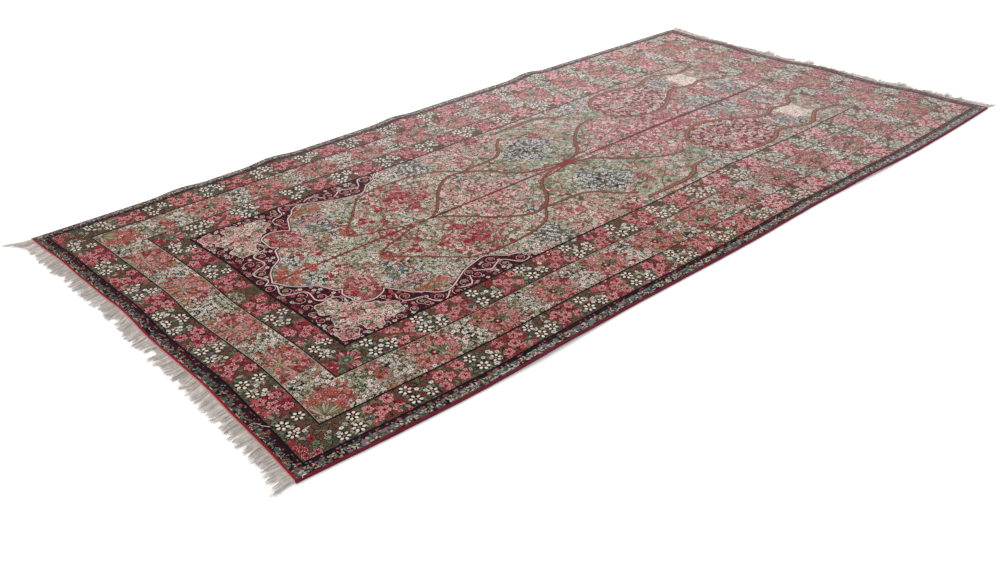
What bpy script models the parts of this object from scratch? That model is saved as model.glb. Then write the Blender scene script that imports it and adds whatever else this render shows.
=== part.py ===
"""Hand-knotted Persian rug lying on a floor.

The knotted cloth is one slab, an overcast selvedge cord is sewn along each long side, and each
short end has a flat-woven web with its warp fringe. Metres, +Z up, X across the rug and Y along
it. The origin is on the floor, under the middle of the rug.
"""

import math
import random

import bpy

# Sizes of the rug, from its middle to the outside of its corners
HALF_WIDTH = 0.915
HALF_LENGTH = 1.813

# The knotted cloth: foundation and pile together, with the pile worn lower round the rim
CLOTH_THICKNESS = 0.009
RIM_THICKNESS = 0.0075
RIM_WIDTH = 0.014
CELLS_ACROSS = 20
CELLS_ALONG = 54

# The overcast selvedge, flat against the cloth and rounded outside
SELVEDGE_WIDTH = 0.0095
SELVEDGE_HEIGHT = 0.0095
SELVEDGE_ARC_STEPS = 6

# The web that ends the weave, and the warps that leave it in locks
SEAM_GAP = 0.0003
WEB_WIDTH = 0.009
WEB_THICKNESS = 0.003
LOCKS_PER_END = 112
LOCK_ROOT_SHARE = (0.64, 0.84)
LOCK_LENGTHS = (0.034, 0.048)
LOCK_RINGS = (
    # (share of the length, share of the root's width, height above the floor)
    (0.38, 0.92, 0.0034),
    (1.00, 0.42, 0.0018),
)
LOCK_LEAN = 0.004
LOCK_SWAY = 0.7  # radians of lean's slow wave from one lock to the next

# The outermost locks at each corner grow longer and splay outwards
CORNER_LOCKS = 4
CORNER_LENGTH = 0.050
CORNER_LEAN = 0.006

# How far each edge stands out from a straight line between corners: (place from -1 to 1, metres)
RIGHT_BOW = (
    (-1.0, 0.000),
    (-0.80, 0.022),
    (-0.60, 0.031),
    (-0.35, 0.023),
    (0.00, 0.027),
    (0.25, 0.018),
    (0.60, 0.027),
    (0.85, 0.017),
    (1.0, 0.004),
)
LEFT_BOW = (
    (-1.0, -0.004),
    (-0.75, -0.002),
    (-0.50, 0.008),
    (-0.25, 0.014),
    (0.05, 0.026),
    (0.50, 0.026),
    (0.80, 0.015),
    (1.0, 0.008),
)
NEAR_BOW = (
    (-1.0, 0.000),
    (-0.75, -0.009),
    (-0.25, -0.024),
    (0.00, -0.020),
    (0.30, -0.023),
    (0.80, -0.011),
    (1.0, 0.000),
)
FAR_BOW = (
    (-1.0, -0.004),
    (-0.65, -0.030),
    (-0.20, -0.036),
    (0.20, -0.030),
    (0.60, -0.022),
    (1.0, 0.000),
)

# Where the cloth stands off the floor in soft ripples, in metres
RIPPLES = (
    # (across, along, half width across, half width along, height)
    (-0.64, -1.81, 0.17, 0.34, 0.007),
    (-0.12, -1.81, 0.20, 0.46, 0.010),
    (0.40, -1.81, 0.19, 0.40, 0.008),
    (-0.52, 1.81, 0.20, 0.36, 0.008),
    (0.10, 1.81, 0.24, 0.42, 0.010),
    (0.60, 1.81, 0.18, 0.30, 0.007),
    (-0.92, -1.23, 0.16, 0.13, 0.008),
    (-0.92, -0.81, 0.18, 0.14, 0.010),
    (-0.93, -0.16, 0.18, 0.13, 0.008),
    (-0.93, 0.69, 0.20, 0.14, 0.013),
    (0.94, -0.95, 0.15, 0.30, 0.005),
    (0.94, 0.82, 0.15, 0.26, 0.005),
)


def along_table(rows, place):
    """A smooth curve through the rows of (place, value)."""
    last = len(rows) - 2
    index = max(0, min(last, sum(place >= row[0] for row in rows) - 1))
    before, low, high, after = (rows[max(0, min(last + 1, index + k))] for k in (-1, 0, 1, 2))
    span = high[0] - low[0]
    share = (place - low[0]) / span
    slope_low = (high[1] - before[1]) / (high[0] - before[0]) * span
    slope_high = (after[1] - low[1]) / (after[0] - low[0]) * span
    square, cube = share**2, share**3
    return (
        (2 * cube - 3 * square + 1) * low[1]
        + (cube - 2 * square + share) * slope_low
        + (3 * square - 2 * cube) * high[1]
        + (cube - square) * slope_high
    )


def plan(across, along, inset=0.0):
    """Floor position of a point of the cloth. across and along run from -1 to 1, edge to edge, and
    inset draws the two long edges in."""
    left = -HALF_WIDTH - along_table(LEFT_BOW, along) + inset
    right = HALF_WIDTH + along_table(RIGHT_BOW, along) - inset
    near = -HALF_LENGTH - along_table(NEAR_BOW, across)
    far = HALF_LENGTH + along_table(FAR_BOW, across)
    return (
        left + (right - left) * (across + 1) / 2,
        near + (far - near) * (along + 1) / 2,
    )


def lift(x, y):
    """Height of the cloth's underside above the floor: soft humps that end flat."""
    total = 0.0
    for across, along, half_across, half_along, height in RIPPLES:
        reach = math.hypot((x - across) / half_across, (y - along) / half_along)
        total += height * math.cos(min(reach, 1.0) * math.pi / 2) ** 2
    return total


def stations(half_size, rim, cells):
    """Places from -1 to 1: both edges, both rims, and even cells between."""
    rim_share = rim / half_size
    inner = [-1 + rim_share + (2 - 2 * rim_share) * k / cells for k in range(cells + 1)]
    return [-1.0, *inner, 1.0]


ACROSS = stations(HALF_WIDTH, RIM_WIDTH, CELLS_ACROSS)
ALONG = stations(HALF_LENGTH, RIM_WIDTH, CELLS_ALONG)


def end_edge(across, end):
    """Point on the cloth's short end, under its face, straight between the cloth's stations."""
    index = max(i for i in range(len(ACROSS) - 1) if across >= ACROSS[i])
    share = (across - ACROSS[index]) / (ACROSS[index + 1] - ACROSS[index])
    corners = []
    for place in ACROSS[index : index + 2]:
        x, y = plan(place, end, SELVEDGE_WIDTH + SEAM_GAP)
        corners.append((x, y, lift(x, y)))
    return tuple(a + (b - a) * share for a, b in zip(*corners))


def fabric(name, colour, roughness):
    material = bpy.data.materials.new(name)
    material.use_nodes = True
    shader = material.node_tree.nodes["Principled BSDF"]
    shader.inputs["Base Color"].default_value = (*colour, 1.0)
    shader.inputs["Roughness"].default_value = roughness
    shader.inputs["Metallic"].default_value = 0.0
    return material


def add_object(name, points, faces, material):
    mesh = bpy.data.meshes.new(name)
    mesh.from_pydata(points, [], faces)
    mesh.materials.append(material)
    mesh.update()
    made = bpy.data.objects.new(name, mesh)
    bpy.context.scene.collection.objects.link(made)
    return made


def knotted_cloth(material):
    """A slab on a grid of stations, its top lower in the outermost ring."""
    columns, rows = len(ACROSS), len(ALONG)
    under, upper = [], []
    for j, along in enumerate(ALONG):
        for i, across in enumerate(ACROSS):
            x, y = plan(across, along, SELVEDGE_WIDTH + SEAM_GAP)
            z = lift(x, y)
            at_rim = i in (0, columns - 1) or j in (0, rows - 1)
            under.append((x, y, z))
            upper.append((x, y, z + (RIM_THICKNESS if at_rim else CLOTH_THICKNESS)))
    top = len(under)
    faces = []
    for j in range(rows - 1):
        for i in range(columns - 1):
            a = j * columns + i
            b, c, d = a + 1, a + 1 + columns, a + columns
            faces.append((d, c, b, a))
            faces.append((a + top, b + top, c + top, d + top))
    ring = [i for i in range(columns)]
    ring += [j * columns + columns - 1 for j in range(1, rows)]
    ring += [(rows - 1) * columns + i for i in range(columns - 2, -1, -1)]
    ring += [j * columns for j in range(rows - 2, 0, -1)]
    for a, b in zip(ring, ring[1:] + ring[:1]):
        faces.append((a, b, b + top, a + top))
    return add_object("pile_cloth", under + upper, faces, material)


def selvedge(name, side, material):
    """A cord with a flat inner face and a half-oval outer one, swept along a long side."""
    points = []
    for along in ALONG:
        x, y = plan(side, along)
        inner = x - side * SELVEDGE_WIDTH
        base = lift(inner, y)
        for k in range(SELVEDGE_ARC_STEPS + 1):
            angle = math.pi * (k / SELVEDGE_ARC_STEPS - 0.5)
            points.append(
                (
                    inner + side * SELVEDGE_WIDTH * math.cos(angle),
                    y,
                    base + SELVEDGE_HEIGHT * (0.5 + 0.5 * math.sin(angle)),
                )
            )
    around = SELVEDGE_ARC_STEPS + 1
    faces = []
    for j in range(len(ALONG) - 1):
        for k in range(around):
            a, b = j * around + k, j * around + (k + 1) % around
            faces.append((a, a + around, b + around, b))
    last = (len(ALONG) - 1) * around
    faces.append(tuple(range(around)))
    faces.append(tuple(last + k for k in reversed(range(around))))
    if side < 0:
        faces = [face[::-1] for face in faces]
    return add_object(name, points, faces, material)


def lock_shape(index, chance):
    """Length of one lock and how far its tip leans sideways: ragged along the end, and drawn
    towards the longer, splayed ones at the corners."""
    length = chance.uniform(*LOCK_LENGTHS)
    lean = LOCK_LEAN * (math.sin(index * LOCK_SWAY) + chance.uniform(-0.5, 0.5))
    from_corner = min(index, LOCKS_PER_END - 1 - index)
    corner = max(0, CORNER_LOCKS - from_corner) / CORNER_LOCKS
    outwards = -1 if index < LOCKS_PER_END / 2 else 1
    length += (CORNER_LENGTH - length) * corner
    return length, lean * (1 - corner) + outwards * CORNER_LEAN * corner


def fringe(name, end, seed, material):
    """The flat-woven web across one short end, with its locks drawn out of its outer face."""
    chance = random.Random(seed)
    points, faces, locks = [], [], []
    pitch = 2.0 / LOCKS_PER_END
    places = []
    for k in range(LOCKS_PER_END):
        share = chance.uniform(*LOCK_ROOT_SHARE)
        start = -1 + pitch * (k + (1 - share) / 2)
        places += [start, start + pitch * share]
    places = [-1.0, *places[1:-1], 1.0]
    for place in places:
        x, y, base = end_edge(place, end)
        for out, height in ((SEAM_GAP, 0), (SEAM_GAP, 1), (WEB_WIDTH, 0), (WEB_WIDTH, 1)):
            points.append((x, y + end * out, base + WEB_THICKNESS * height))
    for k in range(len(places) - 1):
        a, b = 4 * k, 4 * (k + 1)
        faces.append((a, a + 2, b + 2, b))
        faces.append((a + 1, b + 1, b + 3, a + 3))
        faces.append((a, b, b + 1, a + 1))
        if k % 2:
            faces.append((a + 2, a + 3, b + 3, b + 2))
        else:
            locks.append((a + 2, a + 3, b + 3, b + 2))
    last = 4 * (len(places) - 1)
    faces.append((0, 1, 3, 2))
    faces.append((last, last + 2, last + 3, last + 1))
    for index, root in enumerate(locks):
        length, lean = lock_shape(index, chance)
        left, right = points[root[0]], points[root[3]]
        middle, half = (left[0] + right[0]) / 2, (right[0] - left[0]) / 2
        ring = root
        for share, width, height in LOCK_RINGS:
            x = middle + lean * share**2
            y = (left[1] + right[1]) / 2 + end * length * share
            first = len(points)
            for side, z in ((-1, 0.0), (-1, height), (1, height), (1, 0.0)):
                points.append((x + side * half * width, y, z))
            new = tuple(range(first, first + 4))
            for k in range(4):
                n = (k + 1) % 4
                faces.append((ring[k], ring[n], new[n], new[k]))
            ring = new
        faces.append(ring)
    if end < 0:
        faces = [face[::-1] for face in faces]
    return add_object(name, points, faces, material)


def clear_scene():
    for old in list(bpy.data.objects):
        bpy.data.objects.remove(old)


def build():
    clear_scene()
    pile = fabric("wool_pile", (0.42, 0.25, 0.22), 0.9)
    overcast = fabric("overcast_wool", (0.28, 0.03, 0.05), 0.85)
    cotton = fabric("cotton_warp", (0.62, 0.54, 0.50), 0.9)
    knotted_cloth(pile)
    selvedge("selvedge_left", -1, overcast)
    selvedge("selvedge_right", 1, overcast)
    fringe("fringe_near", -1, 11, cotton)
    fringe("fringe_far", 1, 23, cotton)


build()
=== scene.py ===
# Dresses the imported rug: knotted pile with its pattern, overcast selvedges, webs and warp fringes.
import math
import random

import bpy
import numpy as np
from mathutils import Matrix, Vector


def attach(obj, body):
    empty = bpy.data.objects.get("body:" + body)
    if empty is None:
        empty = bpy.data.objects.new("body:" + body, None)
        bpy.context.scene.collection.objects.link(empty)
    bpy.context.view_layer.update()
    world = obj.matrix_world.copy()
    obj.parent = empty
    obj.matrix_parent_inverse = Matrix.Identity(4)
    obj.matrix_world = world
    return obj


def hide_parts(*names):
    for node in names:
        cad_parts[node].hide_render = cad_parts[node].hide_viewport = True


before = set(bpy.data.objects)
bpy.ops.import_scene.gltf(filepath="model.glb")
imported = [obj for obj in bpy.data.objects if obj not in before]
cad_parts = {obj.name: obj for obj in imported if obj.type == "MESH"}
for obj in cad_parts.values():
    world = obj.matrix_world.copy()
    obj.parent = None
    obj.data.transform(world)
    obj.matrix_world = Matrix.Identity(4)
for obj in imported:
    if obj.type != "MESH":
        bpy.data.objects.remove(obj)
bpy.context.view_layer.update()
print("frame loaded")

# sizes of the rug, as in its solids
rug = {
    "halfWidth": 0.915,
    "halfLength": 1.813,
    "thickness": 0.009,
    "rimThickness": 0.0075,
    "selvedgeWidth": 0.0095,
    "selvedgeHeight": 0.0068,
    "seamGap": 0.0003,
    "webWidth": 0.009,
    "webThickness": 0.003,
    "locksPerEnd": 112,
    "lockRootShare": (0.64, 0.84),
    "lockLengths": (0.034, 0.048),
    "lockLean": 0.004,
    "lockSway": 0.7,
    "cornerLocks": 4,
    "cornerLength": 0.05,
    "cornerLean": 0.006,
}
rightBow = ((-1.0, 0.0), (-0.8, 0.022), (-0.6, 0.031), (-0.35, 0.023), (0.0, 0.027),
            (0.25, 0.018), (0.6, 0.027), (0.85, 0.017), (1.0, 0.004))
leftBow = ((-1.0, -0.004), (-0.75, -0.002), (-0.5, 0.008), (-0.25, 0.014), (0.05, 0.026),
           (0.5, 0.026), (0.8, 0.015), (1.0, 0.008))
nearBow = ((-1.0, 0.0), (-0.75, -0.009), (-0.25, -0.024), (0.0, -0.02), (0.3, -0.023),
           (0.8, -0.011), (1.0, 0.0))
farBow = ((-1.0, -0.004), (-0.65, -0.03), (-0.2, -0.036), (0.2, -0.03), (0.6, -0.022),
          (1.0, 0.0))
ripples = (  # across, along, half width across, half width along, height
    (-0.64, -1.81, 0.17, 0.34, 0.007), (-0.12, -1.81, 0.2, 0.46, 0.01), (0.4, -1.81, 0.19, 0.4, 0.008),
    (-0.52, 1.81, 0.2, 0.36, 0.008), (0.1, 1.81, 0.24, 0.42, 0.01), (0.6, 1.81, 0.18, 0.3, 0.007),
    (-0.92, -1.23, 0.16, 0.13, 0.008), (-0.92, -0.81, 0.18, 0.14, 0.01), (-0.93, -0.16, 0.18, 0.13, 0.008),
    (-0.93, 0.69, 0.2, 0.14, 0.013), (0.94, -0.95, 0.15, 0.3, 0.005), (0.94, 0.82, 0.15, 0.26, 0.005),
)

# The chart holds one yarn for each knot of the right half. u runs from the trunk outwards and v from
# the near end, both in metres.
chart = {"faceColumns": 180, "faceRows": 363, "knotsPerFace": 6, "halfWidth": 0.905, "length": 3.626}
columns = chart["faceColumns"] * chart["knotsPerFace"] // 2
rows = chart["faceRows"] * chart["knotsPerFace"]
knot = chart["length"] / rows
dyes = {
    "ink": (20, 14, 18), "burgundy": (54, 13, 25), "crimson": (138, 36, 48), "rose": (172, 84, 90),
    "pink": (198, 138, 137), "blush": (218, 186, 180), "cream": (224, 209, 197), "sage": (168, 160, 138),
    "green": (107, 116, 89), "teal": (62, 78, 74), "olive": (80, 70, 54), "brown": (106, 66, 53),
    "rust": (174, 98, 74), "slate": (109, 113, 120), "mist": (190, 187, 178), "gold": (160, 136, 98),
}
yarns = list(dyes)
number = {name: k for k, name in enumerate(yarns)}

knots = np.zeros((rows, columns), np.uint8)
flatKnots = knots.ravel()
across = ((np.arange(columns, dtype=np.float32) + 0.5) * chart["halfWidth"] / columns)[None, :]
along = ((np.arange(rows, dtype=np.float32) + 0.5) * knot)[:, None]
flatAcross = np.broadcast_to(across, knots.shape).ravel()
flatAlong = np.broadcast_to(along, knots.shape).ravel()

# where the four stripes of the border begin, from the side and from the end
sideLines = (0.0, 0.045, 0.154, 0.307, 0.427)
endLines = (0.0, 0.048, 0.157, 0.298, 0.405)


def edgesOf(u, v):
    # distances from the side and from the nearer end
    return chart["halfWidth"] - u, np.minimum(v, chart["length"] - v)


def bandsOf(u, v):
    # border coordinate from the side and from the end: 0 at the edge, 4 where the field begins
    return [np.interp(away, lines, range(5)) for away, lines in zip(edgesOf(u, v), (sideLines, endLines))]


fromSide, fromEnd = edgesOf(across, along)
band = np.minimum(*bandsOf(across, along)).astype(np.float32)
whole = (slice(None), slice(None))


def paint(mask, yarn, window=whole):
    knots[window][mask] = number[yarn]


def painter(spot):
    # a function that paints those of the listed knots which a mask picks
    def put(mask, yarn):
        flatKnots[spot[mask]] = number[yarn]
    return put


def layers(put, mask, chance, shares):
    # each yarn takes over from the one before it at its own chance
    for yarn, low in shares:
        put(mask & (chance >= low), yarn)


def around(place, reach):
    # the window of knots within reach of a place, and their offsets from it
    left, low = int((place[0] - reach) / knot), int((place[1] - reach) / knot)
    size = int(2 * reach / knot) + 2
    window = (slice(max(low, 0), max(low + size, 0)), slice(max(left, 0), max(left + size, 0)))
    return window, across[:, window[1]] - place[0], along[window[0]] - place[1]


def ring(away, bearing, petals, plump):
    # the bearing is folded into one petal's share, where the petal is an ellipse. away is 1 at its tip
    share = 2 * np.pi / petals
    folded = (bearing + share / 2) % share - share / 2
    run, side = away * np.cos(folded) - 0.6, away * np.sin(folded)
    half = plump * 0.6 * np.tan(np.pi / petals)
    return (run / 0.41) ** 2 + (side / half) ** 2, (run / 0.53) ** 2 + (side / (half + 0.13)) ** 2


def flower(place, size, petals, colours, turn=0.0, eye=0.26, plump=0.95):
    rimYarn, petal, inner, centre = colours
    window, du, dv = around(place, size * 1.3)
    away = np.hypot(du, dv) / size
    inside, rimmed = ring(away, np.arctan2(dv, du) - turn, petals, plump)
    if rimYarn:
        paint((rimmed < 1) | (away < 0.62), rimYarn, window)
    paint(inside < 1, petal, window)
    if inner:
        paint((inside < 1) & (away < 0.62), inner, window)
    paint(away < eye, centre, window)


def rose(place, size, turn, light, dark, rim="burgundy"):
    # five broad petals with light and dark flecks, a ring of short petals within them and an eye
    window, du, dv = around(place, size * 1.25)
    away = np.hypot(du, dv) / size
    angle = np.arctan2(dv, du) - turn
    inside, rimmed = ring(away, angle, 5, 0.86)
    paint((rimmed < 1) | (away < 0.7), rim, window)
    paint(inside < 1, light[0], window)
    paint((inside < 0.9) & (np.sin(7 * angle + 12 * away) > 0.35), light[1], window)
    paint((inside < 0.95) & (np.sin(5 * angle - 15 * away) > 0.7), dark[0], window)
    paint((inside > 0.5) & (inside < 1) & (np.sin(11 * angle + 3 * turn) > 0.55), "blush", window)
    paint((away < 0.44) & (np.cos(6 * angle) > -0.3), dark[0], window)
    paint((away < 0.36) & (np.cos(6 * angle + 2) > 0.5), light[1], window)
    paint(away < 0.22, dark[1], window)


def leaf(place, size, wide, angle, yarn, vein=None, edge=None):
    # a blade whose half width is a sine of the share of its length
    window, du, dv = around(place, size * 1.05)
    run = (du * np.cos(angle) + dv * np.sin(angle)) / size
    side = np.abs(dv * np.cos(angle) - du * np.sin(angle))
    half = wide * np.sin(np.pi * np.clip(run, 0, 1)) ** 0.8
    inside = (run > 0) & (run < 1)
    if edge:
        paint(inside & (side < half + 0.002), edge, window)
    paint(inside & (side < half), yarn, window)
    if vein:
        paint(inside & (side < 0.0011) & (run < 0.85), vein, window)


def fan(place, count, sizes, wide, start, step, tones, veins=(None,), edge=None):
    # leaves that spread from one place, whose sizes, tones and veins take turns
    for k in range(count):
        size, tone, vein = (values[k % len(values)] for values in (sizes, tones, veins))
        leaf(place, size, wide, start + k * step, tone, vein, edge)


def smoothRoute(points, step=0.0009):
    # Catmull-Rom curve through the points
    p = np.array(points, float)
    p = np.vstack([2 * p[0] - p[1], p, 2 * p[-1] - p[-2]])
    out = []
    for k in range(1, len(p) - 2):
        n = max(2, int(np.hypot(*(p[k + 1] - p[k])) / step))
        t = np.linspace(0, 1, n, endpoint=False)[:, None]
        out.append(0.5 * (2 * p[k] + (p[k + 1] - p[k - 1]) * t
                          + (2 * p[k - 1] - 5 * p[k] + 4 * p[k + 1] - p[k + 2]) * t**2
                          + (3 * p[k] - p[k - 1] - 3 * p[k + 1] + p[k + 2]) * t**3))
    return np.vstack(out + [p[-2:-1]])


def stroke(points, wide, yarn, swell=0.0):
    # a line through the points. Its width grows by a sine of the share of its length, up to swell
    route = smoothRoute(points)
    half = (wide + swell * np.sin(np.linspace(0, np.pi, len(route)))) / knot / 2 + 0.2
    r = int(half.max()) + 1
    grid = np.mgrid[-r:r + 1, -r:r + 1].reshape(2, -1).T
    inside = np.hypot(*grid.T) <= half[:, None]
    spots = (np.abs(route) / knot)[:, None, :] + grid[None]
    cols = np.abs(spots[..., 0]).astype(int).clip(0, columns - 1)[inside]
    line = spots[..., 1].astype(int).clip(0, rows - 1)[inside]
    knots[line, cols] = number[yarn]


def coil(place, radius, start, hand, petal, wide=0.0019):
    # a spiral tendril round a flower: its radius falls in step with its bearing
    t = np.linspace(0, 1, 14)
    bearing, reach = start + hand * 5.6 * t, radius * (1 - 0.42 * t)
    curl = np.stack([place[0] + reach * np.cos(bearing), place[1] + reach * np.sin(bearing)], 1)
    window, du, dv = around(place, radius * 1.15)
    paint(np.hypot(du, dv) < radius * 1.12, "burgundy", window)
    stroke(curl, wide, "blush")
    flower(place, radius * 0.44, 6, ("burgundy", petal, None, "crimson"), start, plump=0.8)


def vine(points, swing, turns, yarn, wide=0.003):
    # A route that swings from side to side of a smooth line, with a coil in each bend.
    # The swing is a sine of the share of the line.
    line = smoothRoute(points, 0.004)
    share = np.linspace(0, 1, len(line))[:, None]
    ahead = np.gradient(line, axis=0)
    sideways = np.stack([-ahead[:, 1], ahead[:, 0]], 1) / np.hypot(*ahead.T)[:, None]
    route = line + sideways * swing * np.sin(2 * np.pi * turns * share)
    stroke(route, wide + 0.006, "burgundy")
    stroke(route, wide, yarn)
    for k in range(int(2 * turns)):
        at = int((k + 0.5) / (2 * turns) * (len(line) - 1))
        hand = 1 if k % 2 else -1
        start = math.atan2(*(sideways[at] * -hand)[::-1])
        place = line[at] + sideways[at] * hand * swing * 0.3
        coil(place, swing, start, hand, ("rose", "gold", "rust")[k % 3])


def within(points):
    # even-odd test of every knot against a closed outline
    inside = np.zeros((rows, columns), bool)
    p = np.array(points)
    low, high = max(int(p[:, 1].min() / knot) - 1, 0), min(int(p[:, 1].max() / knot) + 2, rows)
    part = slice(low, high)
    v = along[part]
    for (u0, v0), (u1, v1) in zip(p, np.roll(p, -1, axis=0)):
        if v0 == v1:
            continue
        crosses = (v0 > v) != (v1 > v)
        at = u0 + (v - v0) * (u1 - u0) / (v1 - v0)
        inside[part] ^= crosses & (across < at)
    return inside


def scatter(spot, pitch, seed, shake=0.36):
    # For each knot in spot, the nearest of many shaken centres: its distance, bearing and place,
    # and two chances that belong to the centre.
    u, v = flatAcross[spot], flatAlong[spot]
    nu, nv = int(chart["halfWidth"] / pitch) + 4, int(chart["length"] / pitch) + 4
    table = np.random.default_rng(seed).random((nv, nu, 4), dtype=np.float32)
    stagger = 0.5 * (np.arange(nv) % 2)[:, None]
    placeU = ((np.arange(nu)[None, :] - 1.5 + stagger + shake * (2 * table[..., 0] - 1)) * pitch).ravel()
    placeV = ((np.arange(nv)[:, None] - 1.5 + shake * (2 * table[..., 1] - 1)) * pitch).ravel()
    placeU, placeV = placeU.astype(np.float32), placeV.astype(np.float32)
    cellU, cellV = (u / pitch).astype(np.int32) + 2, (v / pitch).astype(np.int32) + 2
    best = np.full(len(spot), 9.0, np.float32)
    which = np.zeros(len(spot), np.int32)
    for i in (-1, 0, 1):
        for j in (-1, 0, 1):
            pick = (cellV + j).clip(0, nv - 1) * nu + (cellU + i).clip(0, nu - 1)
            away = (placeU[pick] - u) ** 2 + (placeV[pick] - v) ** 2
            near = away < best
            best[near] = away[near]
            which[near] = pick[near]
    au, av = placeU[which], placeV[which]
    return {"away": np.sqrt(best), "bearing": np.arctan2(v - av, u - au), "au": au, "av": av,
            "chance": table[..., 2].ravel()[which], "other": table[..., 3].ravel()[which]}


def slanted(sown, swing=6.28):
    # offsets from the nearest centre, along and across a direction of the centre's own
    turn = sown["bearing"] - sown["chance"] * swing
    return sown["away"] * np.cos(turn), sown["away"] * np.sin(turn)


# the small flowers of one patch share four petal yarns
families = {
    "red": "crimson rose crimson pink",
    "rosy": "rose pink rose blush",
    "pinkish": "pink blush pink rose",
    "white": "cream mist blush sage",
    "leafy": "sage green sage mist",
    "warm": "gold rust pink brown",
    "straw": "gold sage pink sage",
    "salt": "cream ink mist green",
    "blue": "mist slate mist cream",
    "night": "burgundy ink burgundy crimson",
    "bark": "olive brown green teal",
    "lawn": "sage mist green sage",
    "thorn": "burgundy brown crimson olive",
    "dusk": "teal green ink slate",
}
# ground, two specks, eye, rim of the larger flowers, then their share, their yarns, and seven families
beds = {
    "sage": ("olive sage green brown green", 0.3, "pink blush sage mist",
             "white leafy straw pinkish white warm leafy"),
    "rosy": ("brown burgundy olive crimson burgundy", 0.44, "rose pink crimson rose",
             "rosy red leafy pinkish white pinkish leafy"),
    "coral": ("olive burgundy green burgundy brown", 0.42, "rose pink rust crimson",
              "rosy warm red leafy pinkish warm rosy"),
    "pink": ("brown olive sage crimson brown", 0.36, "pink blush blush pink",
             "pinkish white pinkish leafy rosy white leafy"),
    "slate": ("olive ink slate ink ink", 0.3, "mist slate sage mist",
              "blue salt blue leafy blue salt blue"),
    "haze": ("olive ink slate ink slate", 0.3, "mist slate pink mist",
             "blue leafy pinkish leafy blue pinkish salt"),
    "pale": ("olive ink green ink ink", 0.4, "cream sage cream blush",
             "white salt leafy straw white straw salt"),
    "rust": ("brown green olive olive brown", 0.36, "rust rose crimson rust",
             "warm rosy leafy leafy red warm pinkish"),
    "moss": ("green olive brown brown brown", 0.22, "sage blush pink olive",
             "lawn lawn bark lawn warm pinkish lawn"),
    "bulb": ("brown burgundy sage brown crimson", 0.34, "pink blush sage rose",
             "pinkish white pinkish leafy rosy leafy rosy"),
    "cream": ("cream sage gold gold gold", 0.1, "blush mist cream cream",
              "white straw straw white leafy white pinkish"),
    "wine": ("burgundy ink crimson burgundy ink", 0.5, "pink blush rose mist",
             "night thorn night rosy night thorn night"),
    "blush": ("brown burgundy green brown brown", 0.38, "blush cream pink sage",
              "white pinkish leafy pinkish leafy rosy white"),
    "brier": ("brown burgundy ink burgundy burgundy", 0.45, "rose crimson rose crimson",
              "thorn bark red rosy bark red thorn"),
    "bloom": ("brown burgundy olive burgundy crimson", 0.34, "pink rose blush pink",
              "rosy pinkish rosy leafy pinkish white leafy"),
    "meadow": ("olive burgundy brown brown brown", 0.3, "mist pink rose sage",
               "leafy pinkish bark leafy rosy pinkish white"),
    "bank": ("olive ink brown ink ink", 0.2, "mist brown sage green",
             "bark thorn bark bark leafy bark dusk"),
}
bedNumber = {name: k for k, name in enumerate(beds)}
petalShares = (0.0, 0.32, 0.56, 0.78)


sowing = {"patch": 0.042, "blade": (0.0013, 0.0046), "tendril": (0.0011, 0.0075)}  # pitch, half sizes


def growBeds(region, bedOf, seed, fine=0.0105, large=0.026, plump=0.86):
    # Sows small flowers over a region of knots, in patches, then tendrils and larger flowers over them.
    # A small flower's radius is a cosine of the bearing from its centre.
    spot = np.flatnonzero(region)
    put = painter(spot)

    def blades(sown, halfWide, halfLong):
        run, side = slanted(sown)
        return (np.abs(side + 30 * run**2) < halfWide) & (np.abs(run) < halfLong)

    ground = bedOf(flatAcross[spot], flatAlong[spot])
    specks = scatter(spot, fine * 0.8, seed)
    small = scatter(spot, fine, seed + 1)
    big = scatter(spot, large, seed + 2, 0.34)
    patch = scatter(spot, sowing["patch"], seed + 3)
    tendrils = scatter(spot, fine * 1.35, seed + 4)
    smallBed, bigBed = bedOf(small["au"], small["av"]), bedOf(big["au"], big["av"])
    blade, tendril = blades(specks, *sowing["blade"]), blades(tendrils, *sowing["tendril"])
    smallReach = small["away"] / (fine * (0.48 + 0.14 * small["other"]))
    petals = 4 + np.floor(2 * small["other"])
    smallEdge = 1 - 0.4 * (0.5 - 0.5 * np.cos(petals * (small["bearing"] - small["chance"] * 40)))
    bigReach = big["away"] / (large * (0.36 + 0.13 * big["chance"]))
    bigTurn = big["bearing"] - big["chance"] * 40
    bigInside, bigRim = ring(bigReach, bigTurn, 5 + np.floor(2 * big["chance"]), plump)
    family = np.floor(patch["chance"] * 7).astype(np.int8)
    present = set(np.unique(ground)) | set(np.unique(bigBed))
    shown = [(bedNumber[name], plain.split(), share, larger.split(), patches.split())
             for name, (plain, share, larger, patches) in beds.items() if bedNumber[name] in present]
    for bed, yarn, *_ in shown:
        here = ground == bed
        put(here, yarn[0])
        put(here & blade & (specks["other"] < 0.48), yarn[1])
        put(here & blade & (specks["other"] > 0.74), yarn[2])
    for bed, yarn, _, _, patches in shown:
        here = (smallBed == bed) & (smallReach < smallEdge) & (small["chance"] < 0.94)
        for k, name in enumerate(patches):
            layers(put, here & (family == k), small["chance"], zip(families[name].split(), petalShares))
        put(here & (smallReach < 0.28) & (small["other"] > 0.3), yarn[3])
        here = (ground == bed) & tendril
        put(here & (tendrils["other"] < 0.4), families[patches[0]].split()[1])
        put(here & (tendrils["other"] > 0.7), yarn[4])
    for bed, yarn, share, larger, _ in shown:
        here = (bigBed == bed) & (big["other"] < share)
        put(here & ((bigRim < 1) | (bigReach < 0.6)), yarn[4])
        layers(put, here & (bigInside < 1), big["chance"], zip(larger, petalShares))
        put(here & (bigReach < 0.26), yarn[3])


def only(name):
    return lambda au, av: np.full(np.shape(au), bedNumber[name], np.int8)


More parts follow.
